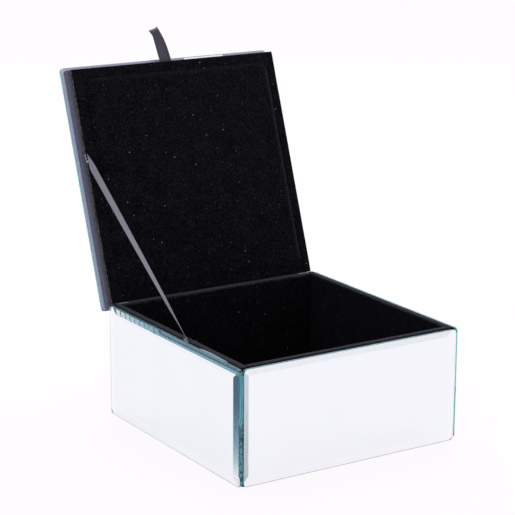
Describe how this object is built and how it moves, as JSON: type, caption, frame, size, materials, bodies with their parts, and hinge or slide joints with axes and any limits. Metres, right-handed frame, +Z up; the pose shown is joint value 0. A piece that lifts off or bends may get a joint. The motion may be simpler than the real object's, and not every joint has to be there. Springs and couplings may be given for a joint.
{
  "type": "trinket box",
  "caption": "Square mirrored vanity trinket box with bevelled glass walls and lid, black velvet lining, a cloth-hinged lid on a ribbon stay, and a ribbon pull loop",
  "frame": {"origin": "Centre of the underside of the base felt, on the surface the box stands on, midway between the outer faces of the side mirrors and of the front and back mirrors", "axes": "+Z up, -Y the front (opening) side, +Y the hinge side, +X to the right seen from the front"},
  "size_m": [0.152, 0.2112, 0.2228],
  "materials": {
    "wall_mirror": "polished",
    "lid_mirror": "polished",
    "mounting_tape": "matte",
    "board": "matte",
    "corner_tape": "matte",
    "edge_paper": "matte",
    "velvet": "matte",
    "felt": "matte",
    "hinge_cloth": "matte",
    "stay_ribbon": "satin",
    "pull_ribbon": "satin"
  },
  "bodies": {
    "box": {"front_mirror": "wall_mirror", "back_mirror": "wall_mirror", "left_mirror": "wall_mirror", "right_mirror": "wall_mirror", "front_tape": "mounting_tape", "back_tape": "mounting_tape", "left_tape": "mounting_tape", "right_tape": "mounting_tape", "front_board": "board", "back_board": "board", "left_board": "board", "right_board": "board", "floor_board": "board", "corner_tapes": "corner_tape", "front_lining": "velvet", "back_lining": "velvet", "left_lining": "velvet", "right_lining": "velvet", "floor_pad": "velvet", "base_felt": "felt", "hinge_cloth": "hinge_cloth", "stay_ribbon": "stay_ribbon"},
    "lid": {"lid_mirror": "lid_mirror", "lid_tape": "mounting_tape", "lid_board": "board", "lid_edge_wrap": "edge_paper", "lid_glue": "mounting_tape", "lid_lining": "velvet", "lid_pad": "velvet", "pull_ribbon": "pull_ribbon"}
  },
  "joints": [
    {"name": "lid_hinge", "type": "hinge", "parent": "box", "child": "lid", "pos_m": [0, 0.074, 0.0671], "axis": [1, 0, 0], "range_deg": [0, 109.5], "deforming": ["hinge_cloth", "stay_ribbon"]}
  ]
}
